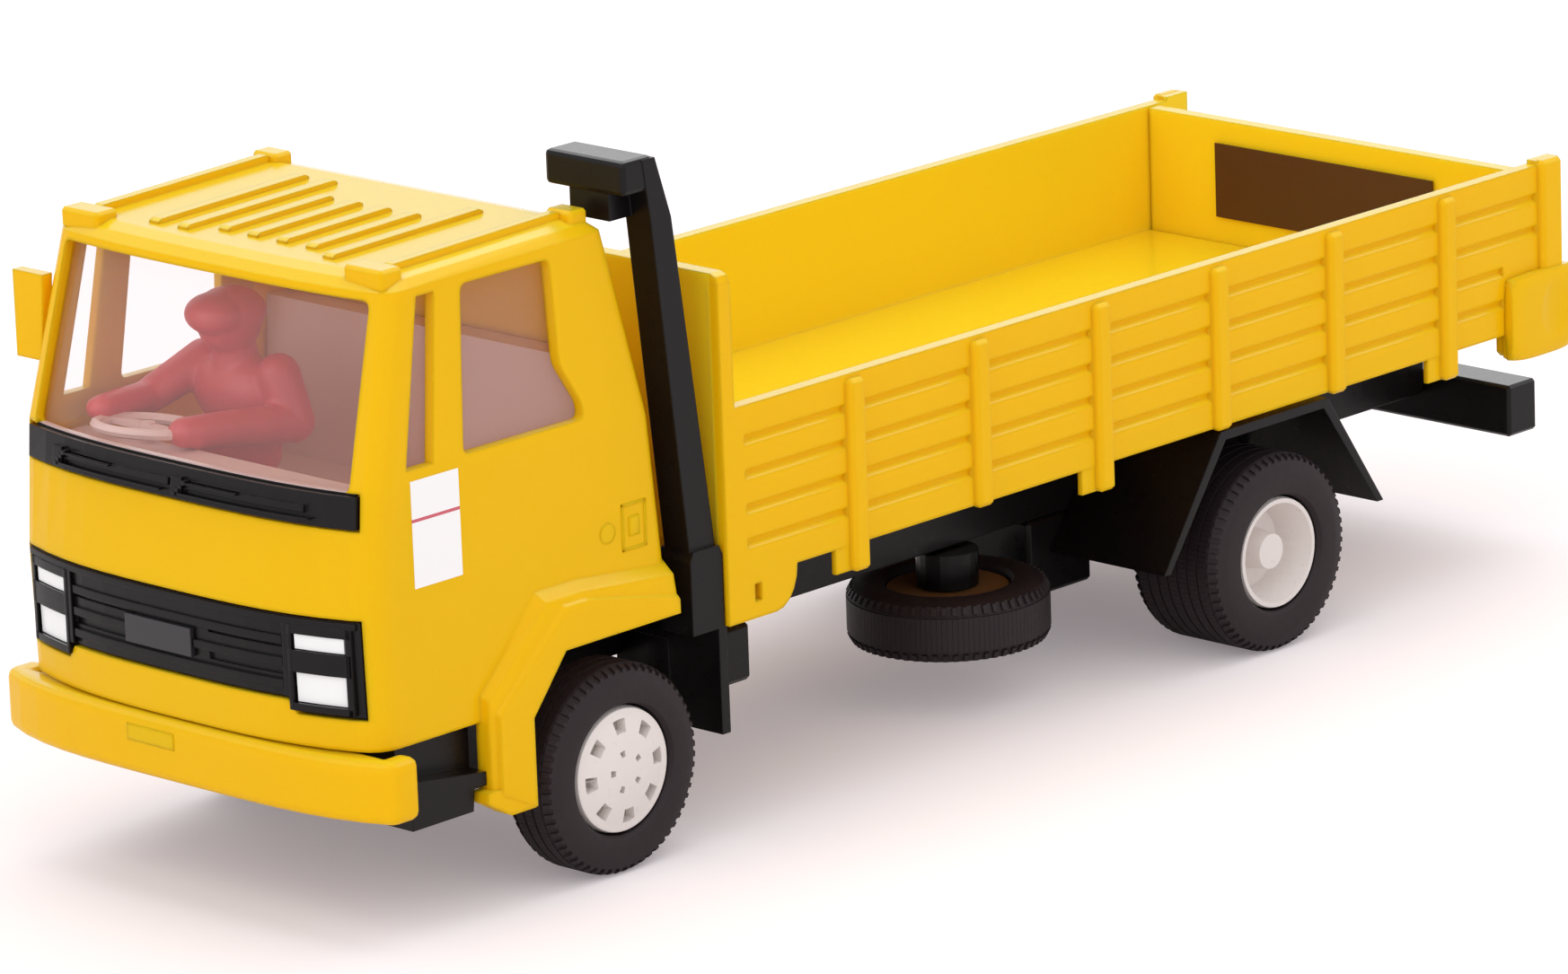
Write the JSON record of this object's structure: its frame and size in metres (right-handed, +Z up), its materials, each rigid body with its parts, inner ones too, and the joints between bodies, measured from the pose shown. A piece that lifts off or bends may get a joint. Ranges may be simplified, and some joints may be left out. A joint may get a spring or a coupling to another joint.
{
  "type": "toy cargo truck with a dropside bed",
  "caption": "Plastic toy of a cab-over cargo truck with a slatted open bed, a hinged tailgate, an intake stack behind the cab and wheels that roll.",
  "frame": {"origin": "on the ground under the middle of the truck's bounding box", "axes": "+Z up, the truck faces -Y, +X is its left side, where the intake stack stands"},
  "size_m": [0.0694, 0.2216, 0.087],
  "materials": {
    "yellow_plastic": "glossy golden yellow moulded plastic",
    "black_plastic": "satin black moulded plastic",
    "tyre_rubber": "dull black soft plastic",
    "white_plastic": "off-white moulded plastic",
    "red_plastic": "red moulded plastic",
    "label_brown": "dark brown printed label, left blank",
    "tray_plastic": "dull grey mauve moulded plastic",
    "clear_plastic": "clear plastic with a faint pink tint",
    "axle_steel": "plain steel rod"
  },
  "bodies": {
    "truck_body": {"cab_shell": "yellow_plastic", "front_bumper": "yellow_plastic", "mirror": "yellow_plastic", "load_bed": "yellow_plastic", "glazing": "clear_plastic", "windscreen_sill": "black_plastic", "grille_panel": "black_plastic", "headlamp_left": "white_plastic", "headlamp_right": "white_plastic", "indicator_left": "white_plastic", "indicator_right": "white_plastic", "interior_tray": "tray_plastic", "dashboard": "tray_plastic", "steering_wheel": "tray_plastic", "driver": "red_plastic", "chassis": "black_plastic", "step_left": "black_plastic", "step_right": "black_plastic", "front_mudflap_left": "black_plastic", "front_mudflap_right": "black_plastic", "motor_housing": "black_plastic", "rear_mudguard_left": "black_plastic", "rear_mudguard_right": "black_plastic", "rear_crossbar": "black_plastic", "tank": "black_plastic", "spare_tyre": "tyre_rubber", "spare_hub": "black_plastic", "spare_carrier": "black_plastic", "intake_stack": "black_plastic"},
    "front_wheels": {"front_axle": "axle_steel", "front_hub_left": "white_plastic", "front_hub_right": "white_plastic", "front_tyre_left": "tyre_rubber", "front_tyre_right": "tyre_rubber"},
    "rear_wheels": {"rear_axle": "axle_steel", "rear_hub_left": "white_plastic", "rear_hub_right": "white_plastic", "rear_tyre_left": "tyre_rubber", "rear_tyre_right": "tyre_rubber"},
    "tailgate_body": {"tailgate": "yellow_plastic", "tailgate_label": "label_brown"}
  },
  "joints": [
    {"name": "front_wheels_roll", "type": "hinge", "parent": "truck_body", "child": "front_wheels", "pos_m": [0.00015, -0.06765, 0.013], "axis": [1, 0, 0], "continuous": true},
    {"name": "rear_wheels_roll", "type": "hinge", "parent": "truck_body", "child": "rear_wheels", "pos_m": [0.00015, 0.05145, 0.013], "axis": [1, 0, 0], "continuous": true},
    {"name": "tailgate_opens", "type": "hinge", "parent": "truck_body", "child": "tailgate_body", "pos_m": [0.00015, 0.10635, 0.0347], "axis": [-1, 0, 0], "range_deg": [0, 95]}
  ]
}
